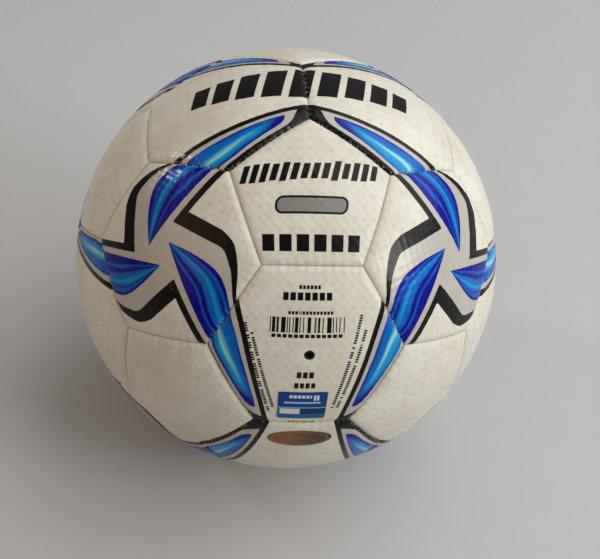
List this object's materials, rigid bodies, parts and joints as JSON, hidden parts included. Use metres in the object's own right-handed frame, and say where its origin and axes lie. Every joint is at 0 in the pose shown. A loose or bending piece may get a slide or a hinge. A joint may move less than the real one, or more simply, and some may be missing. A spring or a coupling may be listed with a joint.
{
  "type": "soccer ball",
  "caption": "Hand-stitched low-bounce soccer ball for indoor play: pentagon and hexagon panels over foam and cloth, a rubber bladder and a needle valve.",
  "frame": {"origin": "centre of the ball", "axes": "+Z out through the middle of the top seam, which runs front to back between two hexagons; -Y out of the front through the middle of the seam below the valve panel, which runs left to right; +X to the right. The valve points along (0, -0.934, 0.357)."},
  "size_m": [0.2006, 0.2006, 0.2006],
  "materials": {
    "plain_cover": "gloss",
    "swirl_cover": "gloss",
    "band_cover": "gloss",
    "thread": "satin",
    "foam": "matte",
    "lining": "matte",
    "bladder_rubber": "satin",
    "wadding": "matte",
    "patch_cloth": "matte",
    "valve_rubber": "satin",
    "core_rubber": "satin",
    "label_film": "gloss",
    "gold_foil": "gloss"
  },
  "bodies": {
    "ball": {"pentagon_top_front": "plain_cover", "pentagon_top_back": "plain_cover", "pentagon_bottom_front": "plain_cover", "pentagon_bottom_back": "plain_cover", "pentagon_front_left": "plain_cover", "pentagon_front_right": "plain_cover", "pentagon_back_left": "plain_cover", "pentagon_back_right": "plain_cover", "pentagon_left_upper": "plain_cover", "pentagon_right_upper": "plain_cover", "pentagon_left_lower": "plain_cover", "pentagon_right_lower": "plain_cover", "hexagon_left_front_upper": "swirl_cover", "hexagon_right_front_upper": "swirl_cover", "hexagon_left_back_upper": "swirl_cover", "hexagon_right_back_upper": "swirl_cover", "hexagon_left_front_lower": "swirl_cover", "hexagon_right_front_lower": "swirl_cover", "hexagon_left_back_lower": "swirl_cover", "hexagon_right_back_lower": "swirl_cover", "hexagon_front_lower": "band_cover", "hexagon_back_upper": "band_cover", "hexagon_back_lower": "band_cover", "hexagon_top_left": "band_cover", "hexagon_top_right": "band_cover", "hexagon_bottom_left": "band_cover", "hexagon_bottom_right": "band_cover", "hexagon_left_front": "band_cover", "hexagon_left_back": "band_cover", "hexagon_right_front": "band_cover", "hexagon_right_back": "band_cover", "hexagon_valve": "band_cover", "thread_top_front": "thread", "thread_top_back": "thread", "thread_bottom_front": "thread", "thread_bottom_back": "thread", "thread_front_left": "thread", "thread_front_right": "thread", "thread_back_left": "thread", "thread_back_right": "thread", "thread_left_upper": "thread", "thread_right_upper": "thread", "thread_left_lower": "thread", "thread_right_lower": "thread", "hexagon_seam_threads": "thread", "pentagon_foam_pads": "foam", "hexagon_foam_pads": "foam", "pentagon_lining_cloths": "lining", "hexagon_lining_cloths": "lining", "bladder": "bladder_rubber", "bladder_wadding": "wadding", "valve_patch": "patch_cloth", "valve_housing": "valve_rubber", "blue_label": "label_film", "gold_oval": "gold_foil"},
    "valve_core": {"valve_core": "core_rubber"}
  },
  "joints": [
    {"name": "valve_core_pull", "type": "slide", "parent": "ball", "child": "valve_core", "axis": [0, -0.9342, 0.3568], "range_m": [0, 0.024]}
  ]
}
